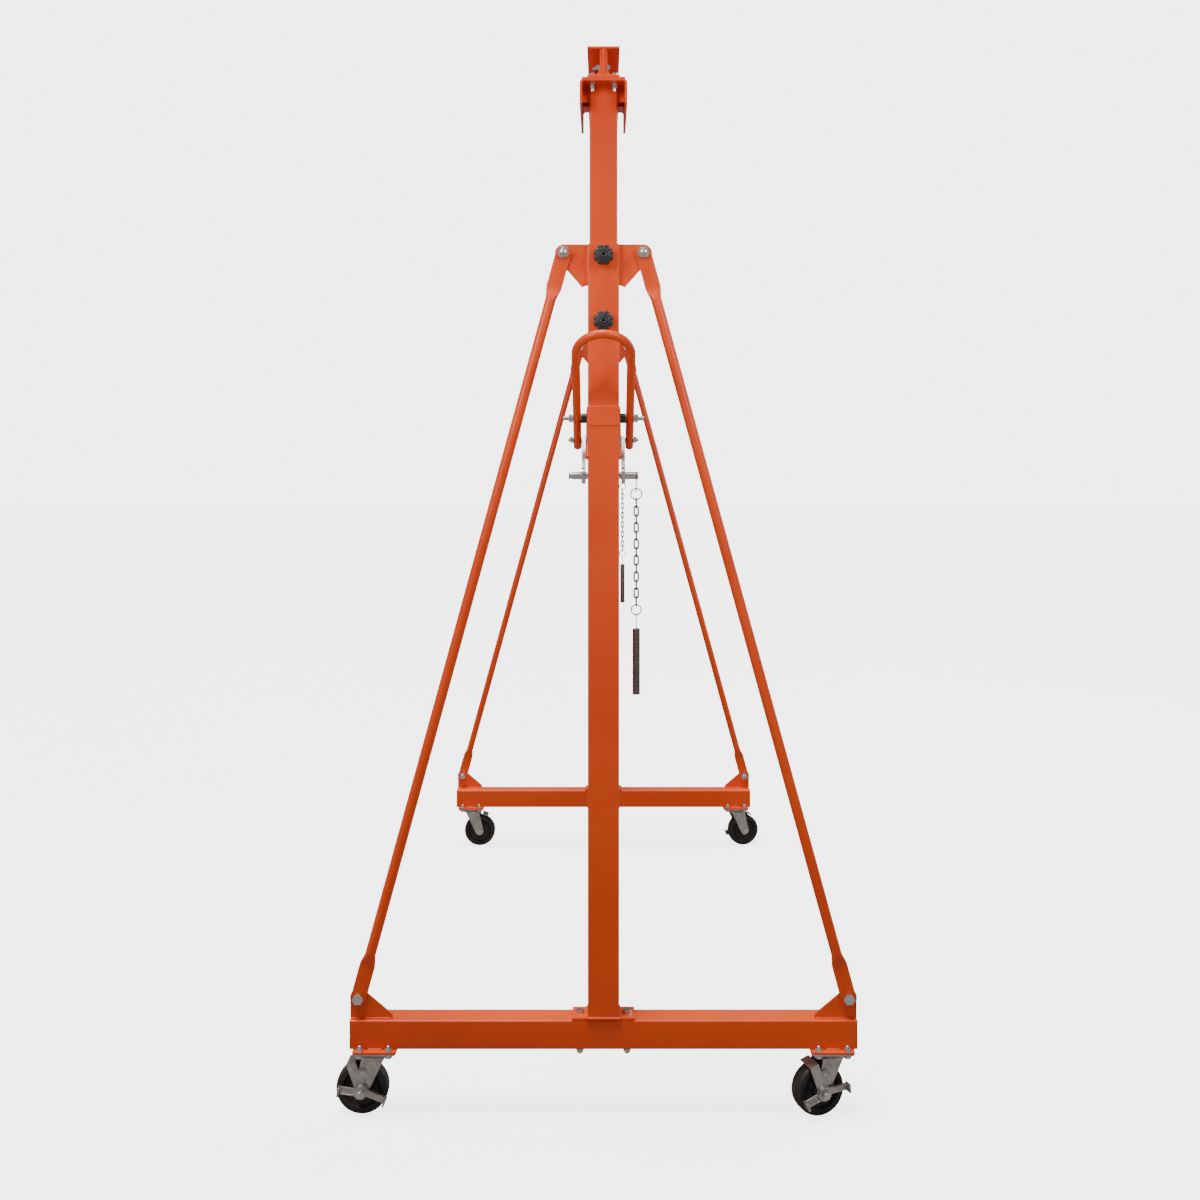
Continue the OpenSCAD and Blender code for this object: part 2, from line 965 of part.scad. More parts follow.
module beam_bolts_shape() {
  grip = flange_t + seat_t + plate_t;
  nut = beam_web / 2 + 6;
  color(zinc) {
    for (x = [-1, 1], y = saddle_bolt_rows, end = [-1, 1])
      translate([x * saddle_bolt_x, end * (frame_spacing / 2 - y), 0]) {
        translate([0, 0, beam_z + flange_t])
          hex(17, 6.4);
        translate([0, 0, mast_top - 18])
          cylinder(d = saddle_bolt_d, h = grip + 19);
        translate([0, 0, mast_top - 2])
          cylinder(d = 22, h = 2);
        translate([0, 0, mast_top - 11])
          hex(17, 9);
      }
    for (end = [0, 180])
      rotate([0, 0, end])
        translate([0, stop_inset + stop_length / 2 - beam_length / 2, stop_bolt_z]) {
          rod_x(-26, nut + 2, 12);
          translate([nut, 0, 0])
            rotate([0, 90, 0])
              hex(19, 7);
          translate([-nut - 10, 0, 0])
            rotate([0, 90, 0])
              hex(19, 10);
        }
  }
}

// ---- the pieces ----

module near_base_beam() near() base_beam_shape();
module near_column() near() column_shape();
module near_frame_bolts() near() frame_bolts_shape();
module near_left_strut() near() mirror([1, 0, 0]) strut_placed();
module near_right_strut() near() strut_placed();
module near_jack_bolts() near() jack_bolts_shape();
module near_jack_bushes() near() jack_bushes_shape();
module near_caster_plates() near() caster_plates_shape();
module near_upper_knob() near() knob_shape(knob_high);
module near_lower_knob() near() knob_shape(knob_low);
module near_jack_lever() near() jack_lever_shape();
module near_link_bolts() near() link_bolts_shape();
module near_lift_links() near() lift_links_shape();
module near_lift_pins() near() lift_pins_shape();
module near_pin_chain() near() pin_chain_shape();
module near_lock_pin() near() lock_pin_shape();
module far_base_beam() far() base_beam_shape();
module far_column() far() column_shape();
module far_frame_bolts() far() frame_bolts_shape();
module far_left_strut() far() mirror([1, 0, 0]) strut_placed();
module far_right_strut() far() strut_placed();
module far_jack_bolts() far() jack_bolts_shape();
module far_jack_bushes() far() jack_bushes_shape();
module far_caster_plates() far() caster_plates_shape();
module far_upper_knob() far() knob_shape(knob_high);
module far_lower_knob() far() knob_shape(knob_low);
module far_jack_lever() far() jack_lever_shape();
module far_link_bolts() far() link_bolts_shape();
module far_lift_links() far() lift_links_shape();
module far_lift_pins() far() lift_pins_shape();
module far_pin_chain() far() pin_chain_shape();
module far_lock_pin() far() lock_pin_shape();
module near_left_fork() at_near_left() fork_shape();
module near_left_axle() at_near_left() axle_shape();
module near_left_wheel() at_near_left() wheel_shape();
module near_left_pedal() at_near_left() pedal_shape(pedal_up);
module near_left_shoe() at_near_left() shoe_shape();
module near_right_fork() at_near_right() fork_shape();
module near_right_axle() at_near_right() axle_shape();
module near_right_wheel() at_near_right() wheel_shape();
module near_right_pedal() at_near_right() pedal_shape(pedal_down);
module near_right_shoe() at_near_right() shoe_shape();
module far_left_fork() at_far_left() fork_shape();
module far_left_axle() at_far_left() axle_shape();
module far_left_wheel() at_far_left() wheel_shape();
module far_left_pedal() at_far_left() pedal_shape(pedal_up);
module far_left_shoe() at_far_left() shoe_shape();
module far_right_fork() at_far_right() fork_shape();
module far_right_axle() at_far_right() axle_shape();
module far_right_wheel() at_far_right() wheel_shape();
module far_right_pedal() at_far_right() pedal_shape(pedal_up);
module far_right_shoe() at_far_right() shoe_shape();
module near_mast() near() mast_shape();
module far_mast() far() mast_shape();
module near_saddle() near() saddle_shape();
module far_saddle() far() saddle_shape();
module beam() beam_shape();
module beam_stops() beam_stops_shape();
module beam_bolts() beam_bolts_shape();

near_base_beam();
near_column();
near_frame_bolts();
near_left_strut();
near_right_strut();
near_jack_bolts();
near_jack_bushes();
near_caster_plates();
near_upper_knob();
near_lower_knob();
near_jack_lever();
near_link_bolts();
near_lift_links();
near_lift_pins();
near_pin_chain();
near_lock_pin();
far_base_beam();
far_column();
far_frame_bolts();
far_left_strut();
far_right_strut();
far_jack_bolts();
far_jack_bushes();
far_caster_plates();
far_upper_knob();
far_lower_knob();
far_jack_lever();
far_link_bolts();
far_lift_links();
far_lift_pins();
far_pin_chain();
far_lock_pin();
near_left_fork();
near_left_axle();
near_left_wheel();
near_left_pedal();
near_left_shoe();
near_right_fork();
near_right_axle();
near_right_wheel();
near_right_pedal();
near_right_shoe();
far_left_fork();
far_left_axle();
far_left_wheel();
far_left_pedal();
far_left_shoe();
far_right_fork();
far_right_axle();
far_right_wheel();
far_right_pedal();
far_right_shoe();
near_mast();
far_mast();
near_saddle();
far_saddle();
beam();
beam_stops();
beam_bolts();
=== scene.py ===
import bpy
import json
import math
import random
from mathutils import Matrix, Vector


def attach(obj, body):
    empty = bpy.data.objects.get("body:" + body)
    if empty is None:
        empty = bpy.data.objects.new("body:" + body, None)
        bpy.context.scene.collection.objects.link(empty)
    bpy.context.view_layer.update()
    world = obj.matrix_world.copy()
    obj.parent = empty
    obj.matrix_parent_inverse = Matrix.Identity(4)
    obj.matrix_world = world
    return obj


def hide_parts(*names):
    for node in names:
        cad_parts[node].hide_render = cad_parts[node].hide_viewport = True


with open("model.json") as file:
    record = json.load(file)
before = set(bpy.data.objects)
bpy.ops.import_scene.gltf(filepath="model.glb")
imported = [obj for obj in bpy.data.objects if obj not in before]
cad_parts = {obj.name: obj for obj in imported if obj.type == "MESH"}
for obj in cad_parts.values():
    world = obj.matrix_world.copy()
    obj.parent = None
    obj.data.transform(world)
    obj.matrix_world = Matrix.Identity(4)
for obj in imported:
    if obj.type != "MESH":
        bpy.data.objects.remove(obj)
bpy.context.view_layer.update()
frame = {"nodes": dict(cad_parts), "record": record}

# ---- sizes and places on the crane, in mm unless the name says metres ----

MM = 0.001
SIDES = ("near", "far")
CASTERS = ("near_left", "near_right", "far_left", "far_right")
FRONT, UP, DOWN, BACK = (0, -1, 0), (0, 0, 1), (0, 0, -1), (0, 1, 0)

FRAME_Y_METRES = 1.155  # middle of each end frame, from the middle of the beam
CASTER_X = 553  # kingpins, either side of the column
CASTER_YAW = {"near_left": 180, "near_right": 198, "far_left": 0, "far_right": 14}
HUB = (34, 0, 63.5)  # wheel centre, from the floor under the kingpin
KNOB_Z = {"upper": 2080, "lower": 1922}
KNOB_SEAT_Y = -48  # from here each clamp knob stands forward
STRUT_Y = -25.5
STRUT_FOOT, STRUT_TOP = (594, 286), (97, 2092)  # X and Z of a strut's two bolts
JACK_X, JACK_Z = 84.2, 1692  # where the jack's pivot threads begin
LIFT_PIN_Z = 1552
LINK_BOLT = (82.4, 60.52, 1641.22)
FOOT_BOLT_X, FOOT_NUT_Z = 57.5, 155.2
CASTER_BOLT_X, CASTER_BOLT_Y, CASTER_BOLT_Z = 34.5, 44, 173.3  # from the kingpin and the floor

EDGE_SEGMENTS = 2
EDGE_ANGLE = math.radians(28)
EDGE_WIDTH = {
    "orange_paint": 0.9, "zinc_fasteners": 0.5, "zinc_plate": 0.6,
    "black_plastic": 0.7, "hard_rubber": 0.8,
}
JOIN_DISTANCE_METRES = 0.000002

# ---- materials ----


def new_material(name, metallic, roughness, coat=0.0):
    m = bpy.data.materials.new(name)
    m.use_nodes = True
    nt = m.node_tree
    b = nt.nodes["Principled BSDF"]
    b.inputs["Metallic"].default_value = metallic
    b.inputs["Roughness"].default_value = roughness
    b.inputs["Coat Weight"].default_value = coat
    b.inputs["Coat Roughness"].default_value = 0.18
    tc = nt.nodes.new("ShaderNodeTexCoord")
    return m, nt, b, tc.outputs["Object"]


def noise(nt, vec, scale, detail=3.0, rough=0.55):
    n = nt.nodes.new("ShaderNodeTexNoise")
    n.inputs["Scale"].default_value = scale
    n.inputs["Detail"].default_value = detail
    n.inputs["Roughness"].default_value = rough
    nt.links.new(vec, n.inputs["Vector"])
    return n.outputs["Fac"]


def ramp(nt, fac, low, high):
    """A colour between two stops, each (position, colour)."""
    r = nt.nodes.new("ShaderNodeValToRGB")
    for element, (position, colour) in zip(r.color_ramp.elements, (low, high)):
        element.position = position
        element.color = (*colour, 1)
    nt.links.new(fac, r.inputs["Fac"])
    return r.outputs["Color"]


def mix(nt, fac, a, b):
    m = nt.nodes.new("ShaderNodeMix")
    m.data_type = "RGBA"
    for value, socket in ((fac, m.inputs["Factor"]), (a, m.inputs[6]), (b, m.inputs[7])):
        if isinstance(value, tuple):
            socket.default_value = (*value, 1)
        else:
            nt.links.new(value, socket)
    return m.outputs[2]


def spread(nt, fac, low, high, lo_out, hi_out):
    m = nt.nodes.new("ShaderNodeMapRange")
    for i, v in ((1, low), (2, high), (3, lo_out), (4, hi_out)):
        m.inputs[i].default_value = v
    nt.links.new(fac, m.inputs[0])
    return m.outputs[0]


def bump(nt, b, height, distance, strength, under=None):
    n = nt.nodes.new("ShaderNodeBump")
    n.inputs["Strength"].default_value = strength
    n.inputs["Distance"].default_value = distance
    nt.links.new(height, n.inputs["Height"])
    if under is not None:
        nt.links.new(under, n.inputs["Normal"])
    nt.links.new(n.outputs["Normal"], b.inputs["Normal"])
    return n.outputs["Normal"]


def powder_coat(name, base, dark, painted_top_light):
    m, nt, b, co = new_material(name, 0.0, 0.4, coat=0.12)
    b.inputs["Specular IOR Level"].default_value = 0.35
    tone = ramp(nt, noise(nt, co, 2.2, 4), (0.35, dark), (0.65, base))
    specks = spread(nt, noise(nt, co, 260, 2), 0.66, 0.76, 0.0, 0.35)
    tone = mix(nt, specks, tone, tuple(0.6 * c for c in base))
    # painted highlight: faces that look up are mixed a little towards a lighter orange, as if lit
    # from above
    geo = nt.nodes.new("ShaderNodeNewGeometry")
    split = nt.nodes.new("ShaderNodeSeparateXYZ")
    nt.links.new(geo.outputs["Normal"], split.inputs[0])
    up = spread(nt, split.outputs["Z"], 0.6, 1.0, 0.0, 0.10)
    nt.links.new(mix(nt, up, tone, painted_top_light), b.inputs["Base Color"])
    sheen = spread(nt, noise(nt, co, 9, 5), 0.3, 0.7, 0.33, 0.47)
    nt.links.new(sheen, b.inputs["Roughness"])
    # orange peel, then a slow waviness over it
    peel = bump(nt, b, noise(nt, co, 520, 2), 0.00010, 0.55)
    bump(nt, b, noise(nt, co, 26, 3), 0.0006, 0.25, peel)
    return m


def plated(name, light, dark, rough, grain=180):
    m, nt, b, co = new_material(name, 1.0, rough)
    tone = ramp(nt, noise(nt, co, 34, 5, 0.65), (0.32, dark), (0.66, light))
    # patches of the plating's faint yellow
    tint = tuple(c * k for c, k in zip(light, (1.0, 0.90, 0.70)))
    patches = spread(nt, noise(nt, co, 12, 2), 0.45, 0.75, 0.0, 0.35)
    nt.links.new(mix(nt, patches, tone, tint), b.inputs["Base Color"])
    sheen = spread(nt, noise(nt, co, grain, 4, 0.7), 0.3, 0.7, rough - 0.09, rough + 0.13)
    nt.links.new(sheen, b.inputs["Roughness"])
    bump(nt, b, noise(nt, co, grain * 2.2, 3), 0.00008, 0.4)
    return m


def moulded(name, light, dark, rough, distance, grain=700):
    m, nt, b, co = new_material(name, 0.0, rough)
    tone = ramp(nt, noise(nt, co, 40, 4), (0.3, dark), (0.7, light))
    nt.links.new(tone, b.inputs["Base Color"])
    sheen = spread(nt, noise(nt, co, 60, 4), 0.3, 0.7, rough - 0.08, rough + 0.12)
    nt.links.new(sheen, b.inputs["Roughness"])
    bump(nt, b, noise(nt, co, grain, 2), distance, 0.5)
    return m


# the paint's last colour is a painted highlight, a lighter orange for faces that look up
PAINT = powder_coat(
    "orange_powder_coat", (0.82, 0.072, 0.004), (0.72, 0.056, 0.003), painted_top_light=(0.86, 0.34, 0.12))
ZINC = plated("bright_zinc", (0.72, 0.71, 0.69), (0.50, 0.49, 0.47), 0.30)
PRESSED = plated("dull_zinc", (0.60, 0.57, 0.54), (0.37, 0.34, 0.32), 0.36, 120)
PLASTIC = moulded("black_plastic", (0.022, 0.021, 0.022), (0.012, 0.011, 0.012), 0.42, 0.0001)
RUBBER = moulded(
    "wheel_compound", (0.026, 0.020, 0.016), (0.012, 0.010, 0.009), 0.46, 0.00015, 400)
CHAIN = plated("dark_zinc", (0.24, 0.20, 0.18), (0.13, 0.11, 0.10), 0.38)
MATERIAL_OF = {
    "orange_paint": PAINT, "zinc_fasteners": ZINC, "zinc_plate": PRESSED,
    "black_plastic": PLASTIC, "hard_rubber": RUBBER,
}
NODE_SLOT = {s["node"]: s["material_slot"] for s in frame["record"]["subparts"]}

# ---- CAD nodes: welded vertices, rounded edges and a finish ----


def round_edges(o, width):
    bv = o.modifiers.new("edges", "BEVEL")
    bv.width = width * MM
    bv.segments = EDGE_SEGMENTS
    bv.limit_method = "ANGLE"
    bv.angle_limit = EDGE_ANGLE
    bv.harden_normals = True
    bv.use_clamp_overlap = True


for name, o in frame["nodes"].items():
    slot = NODE_SLOT[name]
    o.data.materials.clear()
    o.data.materials.append(MATERIAL_OF[slot])
    with bpy.context.temp_override(object=o, active_object=o, selected_objects=[o]):
        bpy.ops.mesh.customdata_custom_splitnormals_clear()
    for p in o.data.polygons:
        p.use_smooth = True
    w = o.modifiers.new("join", "WELD")
    w.merge_threshold = JOIN_DISTANCE_METRES
    round_edges(o, EDGE_WIDTH[slot])
for side in SIDES:
    for part, finish in (
            ("lift_pins", ZINC), ("lift_links", ZINC), ("pin_chain", CHAIN), ("lock_pin", CHAIN)):
        frame["nodes"][f"{side}_{part}"].data.materials[0] = finish

# ---- mesh building ----


def frame_place(side):
    """The near frame's shapes, moved to their end; the far end is a mirror image."""
    if side == "near":
        return Matrix.Translation((0, -FRAME_Y_METRES, 0))
    return Matrix.Translation((0, FRAME_Y_METRES, 0)) @ Matrix.Diagonal((1, -1, 1, 1))


def caster_place(c):
    x = CASTER_X * MM * (-1 if c.endswith("left") else 1)
    y = FRAME_Y_METRES * (-1 if c.startswith("near") else 1)
    return Matrix.Translation((x, y, 0)) @ Matrix.Rotation(math.radians(CASTER_YAW[c]), 4, "Z")


def build(name, mesh, place, material, body, bevel=0.0, stands_for=()):
    """A smooth mesh from (points in mm, faces), put in place and given to a body."""
    verts, faces = mesh
    if place.determinant() < 0:
        faces = [f[::-1] for f in faces]
    me = bpy.data.meshes.new(name)
    me.from_pydata([place @ (Vector(v) * MM) for v in verts], [], faces)
    me.validate()
    for p in me.polygons:
        p.use_smooth = True
    me.materials.append(material)
    o = bpy.data.objects.new(name, me)
    bpy.context.scene.collection.objects.link(o)
    if bevel:
        round_edges(o, bevel)
    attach(o, body)
    if stands_for:
        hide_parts(*stands_for)


def rings(loops, closed=False, caps=True):
    """Points and faces of a skin over equal loops of points."""
    n = len(loops[0])
    verts = [p for loop in loops for p in loop]
    faces = []
    last = len(loops) if closed else len(loops) - 1
    for i in range(last):
        a, b = i * n, ((i + 1) % len(loops)) * n
        faces += [(a + j, a + (j + 1) % n, b + (j + 1) % n, b + j) for j in range(n)]
    if caps and not closed:
        faces += [tuple(range(n))[::-1], tuple(range(len(verts) - n, len(verts)))]
    return verts, faces


def join(parts):
    verts, faces = [], []
    for v, f in parts:
        k = len(verts)
        verts += v
        faces += [tuple(i + k for i in face) for face in f]
    return verts, faces


def axis_frame(origin, axis):
    z = Vector(axis).normalized()
    x = z.orthogonal().normalized()
    return Vector(origin), x, z.cross(x), z


def circle(n):
    """Angles of n equal steps round a circle."""
    return [2 * math.pi * i / n for i in range(n)]


def lathe(profile, origin, axis, segs=48, caps=True):
    """A turned shape: profile is (radius, distance along axis) from one end to the other."""
    o, x, y, z = axis_frame(origin, axis)
    turn = [(math.cos(t), math.sin(t)) for t in circle(segs)]
    loops = [[o + (x * c + y * s) * r + z * h for c, s in turn] for r, h in profile]
    return rings(loops, caps=caps)


def thread(origin, axis, d, length, pitch):
    """The end of a threaded rod, with a chamfer at its tip."""
    root, crest, chamfer = d / 2 + 0.05, d / 2 + 0.4, 1.4
    prof = [(d / 2 - 0.3, 0)]
    for i in range(int(length / pitch)):
        prof += [(root, i * pitch + 0.05), (crest, (i + 0.5) * pitch)]
    prof += [(root, length), (d / 2 - 1.2, length + chamfer)]
    return lathe(prof, origin, axis, 28)


def bead(path, normal, r, seed, closed=False):
    """A weld bead with overlapping ripples along a path."""
    rnd = random.Random(seed)
    step = 1.1
    pts = []
    for a, b in zip(path, path[1:] + path[:1] if closed else path[1:]):
        a, b = Vector(a), Vector(b)
        k = max(2, int((b - a).length / step))
        pts += [a.lerp(b, i / k) for i in range(k)]
    if not closed:
        pts.append(Vector(path[-1]))
    loops = []
    up = Vector(normal)
    last = len(pts) - 1
    for i, p in enumerate(pts):
        inner = closed or 0 < i < last
        d = pts[(i + 1) % len(pts)] - pts[i - 1] if inner else pts[-1] - pts[0]
        d.normalize()
        across = d.cross(up).normalized()
        top = across.cross(d)
        ripple = r * (0.90 + 0.13 * ((i % 3) / 2) + rnd.uniform(-0.05, 0.05))
        if not inner:
            ripple *= 0.55
        loops.append([p + (across * math.cos(t) + top * math.sin(t)) * ripple for t in circle(10)])
    return rings(loops, closed=closed)


def rounded_square(half, z, r):
    """Points round a square with rounded corners at height z."""
    out = []
    for cx, cy, start in ((1, 1, 0), (-1, 1, 90), (-1, -1, 180), (1, -1, 270)):
        for i in range(5):
            a = math.radians(start + i * 22.5)
            x = cx * (half - r) + r * math.cos(a)
            out.append((x, cy * (half - r) + r * math.sin(a), z))
    return out


# ---- end frames ----

FLAT_W, FLAT_T = 19, 3.0  # half width and half thickness of a strut's pressed ends
TUBE_R = 13.0
SWELL = 34  # length over which the flat end becomes round


def strut_end(i):
    """Step i of 8 round a flat end: how far it reaches past the bolt, and its half width."""
    a = math.radians(90 * i / 8)
    return FLAT_W * math.cos(a), max(FLAT_W * math.sin(a), 2.0)


def strut_swell(t):
    """Half width and half thickness from the flat end, t = 0, to the round tube, t = 1."""
    s = t * t * (3 - 2 * t)
    return FLAT_W + (TUBE_R - FLAT_W) * s, FLAT_T + (TUBE_R - FLAT_T) * s


def strut_mesh(sign):
    """A round tube pressed flat at both ends."""
    foot = Vector((STRUT_FOOT[0] * sign, STRUT_Y, STRUT_FOOT[1]))
    top = Vector((STRUT_TOP[0] * sign, STRUT_Y, STRUT_TOP[1]))
    along = (top - foot).normalized()
    through = Vector(BACK)
    across = through.cross(along)
    length = (top - foot).length
    # each station: distance from the foot bolt, half width, half thickness
    stations = []
    for i in range(9):
        past, w = strut_end(i)
        stations.append((-past, w, FLAT_T))
    stations += [(h, FLAT_W, FLAT_T) for h in (30, 74)]
    for i in range(11):
        stations.append((80 + SWELL * i / 10, *strut_swell(i / 10)))
    stations += [(h, TUBE_R, TUBE_R) for h in (140, length / 2, length - 150)]
    for i in range(10, -1, -1):
        stations.append((length - 85 - SWELL * i / 10, *strut_swell(i / 10)))
    stations += [(h, FLAT_W, FLAT_T) for h in (length - 78, length - 30)]
    for i in range(8, -1, -1):
        past, w = strut_end(i)
        stations.append((length + past, w, FLAT_T))
    loops = []
    for h, w, t in stations:
        # the section goes from a flat bar with soft edges to a circle
        roundness = (t - FLAT_T) / (TUBE_R - FLAT_T)
        power = 1.0 - 0.78 * (1 - roundness)
        loop = []
        for a in circle(40):
            c, s = math.cos(a), math.sin(a)
            thick = math.copysign(abs(s) ** power, s) * t
            loop.append(foot + along * h + across * (c * w) + through * thick)
        loops.append(loop)
    return rings(loops)


# clamp knob: distance forward of its seat, and size of the star outline there
KNOB_STAR = (
    (12.0, 0.82), (12.4, 0.93), (14.0, 1.0), (25.5, 1.0), (28.0, 0.955), (29.4, 0.86), (30.0, 0.70),
)
# turned pieces of the knob: radius, and distance forward of its seat
KNOB_BOSS = [(12.2, 1.6), (12.2, 12.4)]
KNOB_CAP = [(15.5, 29.9), (15.2, 31.2), (13.8, 32.0), (9.5, 32.2), (9.0, 31.4), (3, 31.2)]
KNOB_INSERT = [(8.9, 31.2), (8.9, 31.8), (3.6, 31.9), (3.2, 30.8)]
KNOB_R, KNOB_NOTCH, KNOB_LOBES = 24.4, 3.6, 8


def knob_mesh(z):
    """An eight-lobed clamp knob with its boss and cap."""
    origin, x, y, a = axis_frame((0, KNOB_SEAT_Y, z), FRONT)
    turn = math.pi / KNOB_LOBES
    loops = []
    for h, k in KNOB_STAR:
        loop = []
        for t in circle(128):
            notch = max(0.0, -math.cos(KNOB_LOBES * t)) ** 1.6
            r = (KNOB_R - KNOB_NOTCH * notch) * k
            loop.append(origin + (x * math.cos(t + turn) + y * math.sin(t + turn)) * r + a * h)
        loops.append(loop)
    boss = lathe(KNOB_BOSS, origin, a, 40)
    cap = lathe(KNOB_CAP, origin, a, 40)
    return join([rings(loops), boss, cap])


# where the weld beads run
COLUMN_SEAM, COLUMN_FOOT_Z = 38.7, 241.4
COLLAR_Z = (1674, 1718)
PLATE_FACES_Y = (-22.9, -16.1)  # both faces of the gussets and the ears
GUSSET_X, GUSSET_FOOT_Z = (514, 613), 235.6
EAR_X, EAR_Z = 38.4, (2016, 2111)
CASTER_SEAM_X, CASTER_SEAM_Y, CASTER_SEAM_Z = (-17, 17), 35.4, 165.2
KNOB_NUT_R, KNOB_NUT_Y = 11.2, -38.1
MAST_SEAM, MAST_HEAD_Z = 34.7, 2493.4
SPACER_X, SPACER_FACES_Y, SPACER_Z = 50.4, (-25, 23), (2460, 2493)


def frame_welds():
    """Beads at the column's foot, the gussets, the ears, the collar and the knobs' nuts."""
    beads = [bead(rounded_square(COLUMN_SEAM, COLUMN_FOOT_Z, 4), UP, 3.6, 3, closed=True)]
    for s in (-1, 1):
        for y in PLATE_FACES_Y:
            beads.append(bead([(s * x, y, GUSSET_FOOT_Z) for x in GUSSET_X], UP, 2.9, 5))
            beads.append(bead([(s * EAR_X, y, z) for z in EAR_Z], (s, 0, 0), 2.7, 7))
        for y in (-CASTER_SEAM_Y, CASTER_SEAM_Y):
            path = [(s * CASTER_X + dx, y, CASTER_SEAM_Z) for dx in CASTER_SEAM_X]
            beads.append(bead(path, DOWN, 3.0, 9))
    for z in COLLAR_Z:
        beads.append(bead(rounded_square(COLUMN_SEAM, z, 5), UP, 2.0, 11, closed=True))
    ring = [(KNOB_NUT_R * math.cos(t), KNOB_NUT_R * math.sin(t)) for t in circle(40)]
    for z in KNOB_Z.values():
        path = [(x, KNOB_NUT_Y, z + dz) for x, dz in ring]
        beads.append(bead(path, FRONT, 1.9, 13, closed=True))
    return join(beads)


# a domed nut under the base beam: radius, and distance down
FOOT_DOME = [
    (9.4, 0), (9.3, 3.5), (8.8, 6.5), (7.6, 9.6), (5.6, 12.2), (3.2, 13.8), (1.2, 14.4),
]


def frame_bolt_ends():
    """Thread ends of the struts', jack's and casters' bolts, and the foot's domed nuts."""
    ends = []
    for s in (-1, 1):
        ends.append(thread((s * STRUT_TOP[0], -44, STRUT_TOP[1]), FRONT, 16, 4.6, 1.6))
        ends.append(thread((s * STRUT_FOOT[0], -4, STRUT_FOOT[1]), BACK, 16, 3.6, 1.6))
        ends.append(lathe(FOOT_DOME, (s * FOOT_BOLT_X, 0, FOOT_NUT_Z), DOWN, 36))
        ends.append(thread((s * JACK_X, 0, JACK_Z), (s, 0, 0), 10, 13.2, 1.5))
        for x in (s * CASTER_X - CASTER_BOLT_X, s * CASTER_X + CASTER_BOLT_X):
            for y in (-CASTER_BOLT_Y, CASTER_BOLT_Y):
                ends.append(thread((x, y, CASTER_BOLT_Z), UP, 10, 4.6, 1.5))
    return join(ends)


def link_bolt_ends():
    x, y, z = LINK_BOLT
    return join([thread((s * x, y, z), (s, 0, 0), 8, 4.0, 1.25) for s in (-1, 1)])


def head_welds():
    """Beads where the mast and the spacer plates meet the saddle."""
    beads = [bead(rounded_square(MAST_SEAM, MAST_HEAD_Z, 4), UP, 3.2, 15, closed=True)]
    for s in (-1, 1):
        for y in SPACER_FACES_Y:
            beads.append(bead([(s * SPACER_X, y, z) for z in SPACER_Z], (s, 0, 0), 2.0, 17))
    return join(beads)


# end cap and spring clip of the lift pin: radius, and distance out from their place
PIN_CAP = [(9.6, 0), (9.6, 0.8), (8.4, 1.0)]
PIN_CLIP = [(9.3, -0.6), (12.5, -0.6), (12.8, 0), (12.5, 0.6), (9.3, 0.6)]
PIN_CAP_X, PIN_CLIP_X = 84, 57


def pin_clips():
    caps = [lathe(PIN_CAP, (s * PIN_CAP_X, 0, LIFT_PIN_Z), (s, 0, 0), 36) for s in (-1, 1)]
    clips = [lathe(PIN_CLIP, (s * PIN_CLIP_X, 0, LIFT_PIN_Z), (s, 0, 0), 36) for s in (-1, 1)]
    return join(caps + clips)


for side in SIDES:
    at = frame_place(side)
    body = f"{side}_frame"
    for hand, sign in (("left", -1), ("right", 1)):
        strut = f"{side}_{hand}_strut"
        build(f"{strut}_skin", strut_mesh(sign), at, PAINT, body, stands_for=[strut])
    for which, z in KNOB_Z.items():
        knob, clamp = f"{side}_{which}", f"{side}_{which}_clamp"
        stud = thread((0, -34.6, z), FRONT, 11.2, 15.2, 1.75)
        insert = lathe(KNOB_INSERT, (0, KNOB_SEAT_Y, z), FRONT, 32)
        build(f"{knob}_star", knob_mesh(z), at, PLASTIC, clamp, 0.3, [f"{knob}_knob"])
        build(f"{knob}_stud", stud, at, ZINC, clamp)
        build(f"{knob}_insert", insert, at, PLASTIC, clamp)
    build(f"{side}_frame_welds", frame_welds(), at, PAINT, body)
    build(f"{side}_bolt_ends", frame_bolt_ends(), at, ZINC, body)
    build(f"{side}_link_bolt_ends", link_bolt_ends(), at, ZINC, f"{side}_lever")
    build(f"{side}_head_welds", head_welds(), at, PAINT, "upper")
    build(f"{side}_pin_clips", pin_clips(), at, ZINC, f"{side}_links")

# ---- casters ----

# half of the wheel's outline, from the bore to the middle of the tread: radius, distance across
WHEEL_HALF = [
    (6.1, -25.4), (17.5, -25.4), (19.0, -24.6), (19.6, -23), (20.6, -12), (22.5, -9.5),
    (40, -10.5), (43.5, -13), (46, -19.2), (47.4, -20.8), (50.5, -21.2), (51.4, -20.4),
    (53.6, -20.4), (54.4, -21.0), (57.0, -20.6), (60.4, -18.4), (62.4, -15.2), (63.2, -11.5),
    (63.45, -6), (63.5, 0),
]
WHEEL = WHEEL_HALF + [(r, -h) for r, h in WHEEL_HALF[-2::-1]]
HUB_FACE = [(6.15, 0), (12.5, 0), (13.0, -0.3)]
HUB_FACE_Y, AXLE_END_Y = 25.5, 50.8
# rings pressed into the swivel: radius, and height over the floor
RACE_RING = [(30.2, 149.5), (33.4, 150.1), (34.6, 151.9), (34.2, 153.9), (32, 154.9)]
CROWN_RING = [(31.4, 139.4), (33.4, 140.4), (33.8, 142.6), (32.0, 145.6), (30.6, 146.4)]
# the brake pedal's two arms: angle from the first, and reach from the axle
PEDAL_ARMS = ((0, 55), (-166, 65))
PEDAL_TILT, PEDAL_TILT_NEAR_RIGHT = 8, -20
# a rib's section: across the arm, and out from the wheel's middle
RIB_SECTION = ((-9, 35.4), (5.5, 35.4), (5.5, 37.2), (-9, 37.2))
RIB_START, RIB_PITCH, RIB_WIDTH = 30, 7, 3


